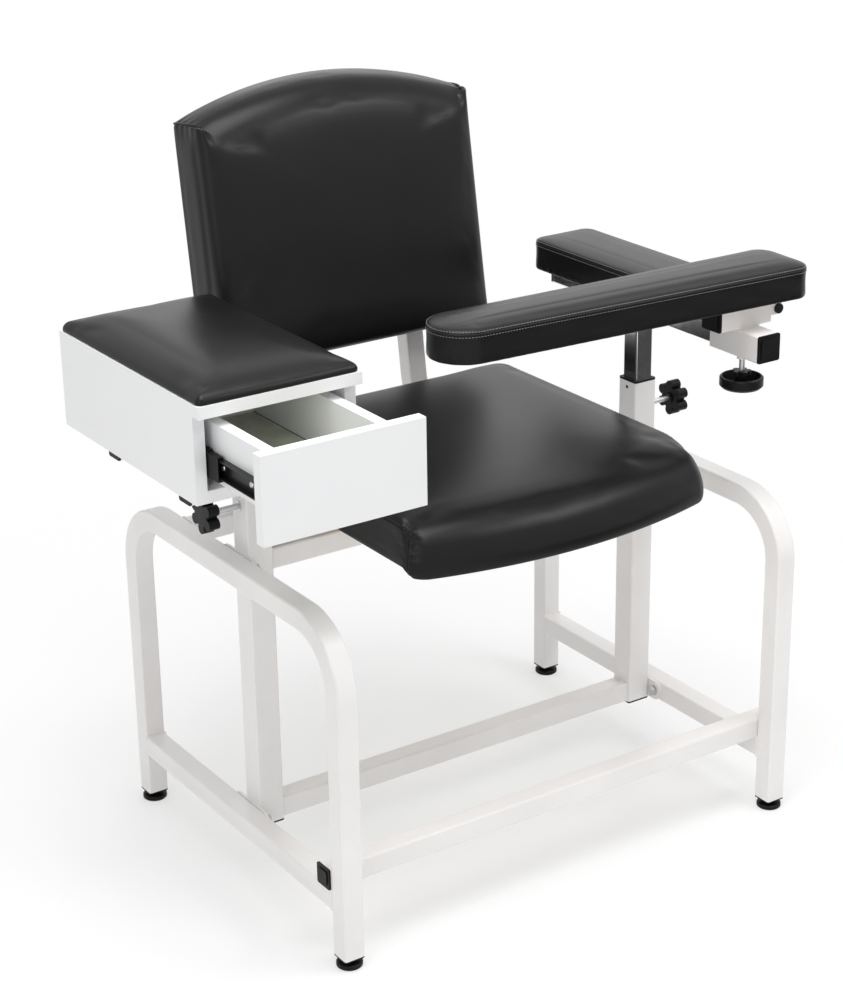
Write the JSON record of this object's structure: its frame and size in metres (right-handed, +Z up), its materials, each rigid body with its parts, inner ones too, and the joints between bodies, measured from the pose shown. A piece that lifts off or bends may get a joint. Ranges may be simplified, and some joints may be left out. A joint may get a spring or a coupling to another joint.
{
  "type": "phlebotomy chair",
  "caption": "Blood-drawing chair: bent-tube frame, padded seat and back, flip-up padded arm rest on a clamped mast, and a small drawer cabinet with a padded top.",
  "frame": {"origin": "centre of the bounding box in plan, on the floor", "axes": "+Z up, +Y from the front of the chair to its back rest, +X to the sitter's left (the viewer's right)"},
  "size_m": [0.876, 0.6654, 1.0255],
  "materials": {
    "frame_paint": "satin powder coat, warm white",
    "black_plastic": "moulded, fine grain",
    "zinc_steel": "zinc plated",
    "black_steel": "black, satin",
    "chrome": "polished chrome plate",
    "plywood": "bare plywood",
    "back_panel": "black board, fine grain",
    "vinyl": "soft-sheen upholstery vinyl",
    "laminate": "white laminated board",
    "drawer_lining": "grey-green lining board"
  },
  "bodies": {
    "base_chair": {"left_side_frame": "frame_paint", "right_side_frame": "frame_paint", "lower_rails": "frame_paint", "leg_inserts": "black_plastic", "front_crossbar": "frame_paint", "left_post": "frame_paint", "right_post": "frame_paint", "post_crossbars": "frame_paint", "post_bushes": "black_plastic", "rear_seat_bar": "frame_paint", "lug_plates": "frame_paint", "lug_fasteners": "zinc_steel", "frame_caps": "black_plastic", "clamp_nuts": "zinc_steel", "left_back_upright": "frame_paint", "right_back_upright": "frame_paint", "seat_board": "plywood", "seat_cushion": "vinyl", "back_board": "back_panel", "back_cushion": "vinyl", "pad_bolts": "zinc_steel"},
    "foot_fl": {"foot_front_left": "black_plastic"},
    "foot_fr": {"foot_front_right": "black_plastic"},
    "foot_rl": {"foot_rear_left": "black_plastic"},
    "foot_rr": {"foot_rear_right": "black_plastic"},
    "arm_post": {"arm_mast": "chrome", "arm_rail": "chrome", "arm_rail_cap": "black_plastic", "rear_arm_board": "plywood", "rear_arm_cushion": "vinyl", "rear_arm_screws": "zinc_steel"},
    "arm_slider": {"arm_sleeve": "frame_paint", "sleeve_caps": "black_plastic", "cross_tube": "frame_paint", "hinge_pin": "black_steel"},
    "flip_arm": {"arm_bracket": "black_steel", "front_arm_board": "plywood", "front_arm_cushion": "vinyl"},
    "handwheel": {"arm_handwheel": "black_plastic", "handwheel_screw": "zinc_steel"},
    "right_knob": {"right_clamp_knob": "black_plastic", "right_clamp_screw": "zinc_steel"},
    "left_knob": {"left_clamp_knob": "black_plastic", "left_clamp_screw": "zinc_steel"},
    "cabinet": {"cabinet_mast": "chrome", "cabinet_cradle": "frame_paint", "cradle_caps": "black_plastic", "cabinet_sides": "laminate", "cabinet_bottom": "laminate", "cabinet_back": "laminate", "cabinet_top": "laminate", "cabinet_cushion": "vinyl", "slide_outers": "black_steel"},
    "drawer": {"drawer_front": "laminate", "drawer_sides": "laminate", "drawer_back": "laminate", "drawer_floor": "drawer_lining", "slide_inners": "black_steel"},
    "ball_cages": {"slide_cages": "black_plastic", "slide_balls": "zinc_steel"}
  },
  "joints": [
    {"name": "foot_fl_turn", "type": "hinge", "parent": "base_chair", "child": "foot_fl", "pos_m": [-0.32902, -0.31529, 0], "axis": [0, 0, 1], "continuous": true},
    {"name": "foot_fr_turn", "type": "hinge", "parent": "base_chair", "child": "foot_fr", "pos_m": [0.39098, -0.31529, 0], "axis": [0, 0, 1], "continuous": true},
    {"name": "foot_rl_turn", "type": "hinge", "parent": "base_chair", "child": "foot_rl", "pos_m": [-0.32902, 0.22671, 0], "axis": [0, 0, 1], "continuous": true},
    {"name": "foot_rr_turn", "type": "hinge", "parent": "base_chair", "child": "foot_rr", "pos_m": [0.39098, 0.22671, 0], "axis": [0, 0, 1], "continuous": true},
    {"name": "arm_height", "type": "slide", "parent": "base_chair", "child": "arm_post", "axis": [0, 0, 1], "range_m": [-0.08, 0.1]},
    {"name": "arm_reach", "type": "slide", "parent": "arm_post", "child": "arm_slider", "axis": [0, -1, 0], "range_m": [0, 0.06]},
    {"name": "arm_flip", "type": "hinge", "parent": "arm_slider", "child": "flip_arm", "pos_m": [0.40398, -0.25529, 0.742], "axis": [0, 1, 0], "range_deg": [0, 95]},
    {"name": "handwheel_turn", "type": "hinge", "parent": "arm_slider", "child": "handwheel", "pos_m": [0.35298, -0.26329, 0.65], "axis": [0, 0, 1], "continuous": true},
    {"name": "right_knob_turn", "type": "hinge", "parent": "base_chair", "child": "right_knob", "pos_m": [0.41298, -0.04029, 0.546], "axis": [1, 0, 0], "continuous": true},
    {"name": "left_knob_turn", "type": "hinge", "parent": "base_chair", "child": "left_knob", "pos_m": [-0.35102, -0.04029, 0.546], "axis": [1, 0, 0], "continuous": true},
    {"name": "cabinet_height", "type": "slide", "parent": "base_chair", "child": "cabinet", "axis": [0, 0, 1], "range_m": [0, 0.1]},
    {"name": "drawer_slide", "type": "slide", "parent": "cabinet", "child": "drawer", "axis": [0, -1, 0], "range_m": [-0.144, 0.116]},
    {"name": "cage_slide", "type": "slide", "parent": "cabinet", "child": "ball_cages", "axis": [0, -1, 0], "range_m": [-0.072, 0.058]}
  ],
  "couplings": [
    {"joint": "cage_slide", "follows": "drawer_slide", "ratio": 0.5}
  ]
}
